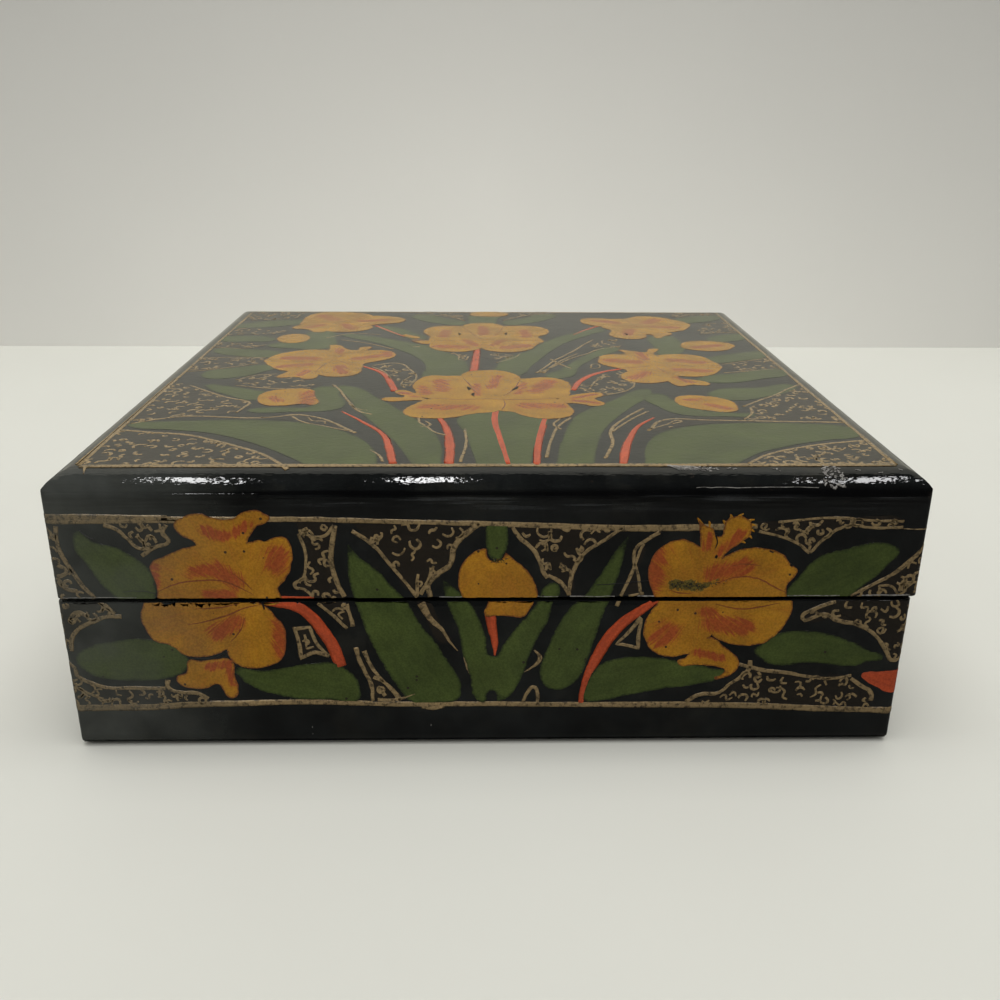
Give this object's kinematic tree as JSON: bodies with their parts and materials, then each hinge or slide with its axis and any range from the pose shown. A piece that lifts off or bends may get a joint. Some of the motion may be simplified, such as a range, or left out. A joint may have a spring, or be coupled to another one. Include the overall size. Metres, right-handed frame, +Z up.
{
  "type": "hinged lacquered box",
  "caption": "Low square lidded box of thin boards covered in lacquered papier mache, with a deep lid hinged at the back and painted iris and leaf decoration.",
  "frame": {"origin": "centre of the base's underside, in the plane that the box stands on", "axes": "+Z up, -Y towards the front, +X to the right as seen from the front; the hinges are at +Y"},
  "size_m": [0.1524, 0.1531, 0.0537],
  "materials": {
    "lacquered_paper": "gloss",
    "poplar_board": "matte",
    "brass": "satin",
    "leaf_green_paint": "gloss",
    "ochre_paint": "gloss",
    "coral_paint": "gloss",
    "gold_paint": "satin"
  },
  "bodies": {
    "base": {"base_front_board": "poplar_board", "base_back_board": "poplar_board", "base_left_board": "poplar_board", "base_right_board": "poplar_board", "base_floor_board": "poplar_board", "base_underside_paper": "lacquered_paper", "base_paper_skin": "lacquered_paper", "base_paper_lining": "lacquered_paper", "hinge_left_pin": "brass", "hinge_left_base_leaf": "brass", "hinge_left_base_screws": "brass", "hinge_right_pin": "brass", "hinge_right_base_leaf": "brass", "hinge_right_base_screws": "brass"},
    "lid": {"lid_front_board": "poplar_board", "lid_back_board": "poplar_board", "lid_left_board": "poplar_board", "lid_right_board": "poplar_board", "lid_top_board": "poplar_board", "lid_paper_skin": "lacquered_paper", "lid_paper_lining": "lacquered_paper", "hinge_left_lid_leaf": "brass", "hinge_left_lid_screws": "brass", "hinge_right_lid_leaf": "brass", "hinge_right_lid_screws": "brass"}
  },
  "joints": [
    {"name": "lid_hinge", "type": "hinge", "parent": "base", "child": "lid", "pos_m": [0, 0.0755, 0.03025], "axis": [-1, 0, 0], "range_deg": [0, 100]}
  ]
}
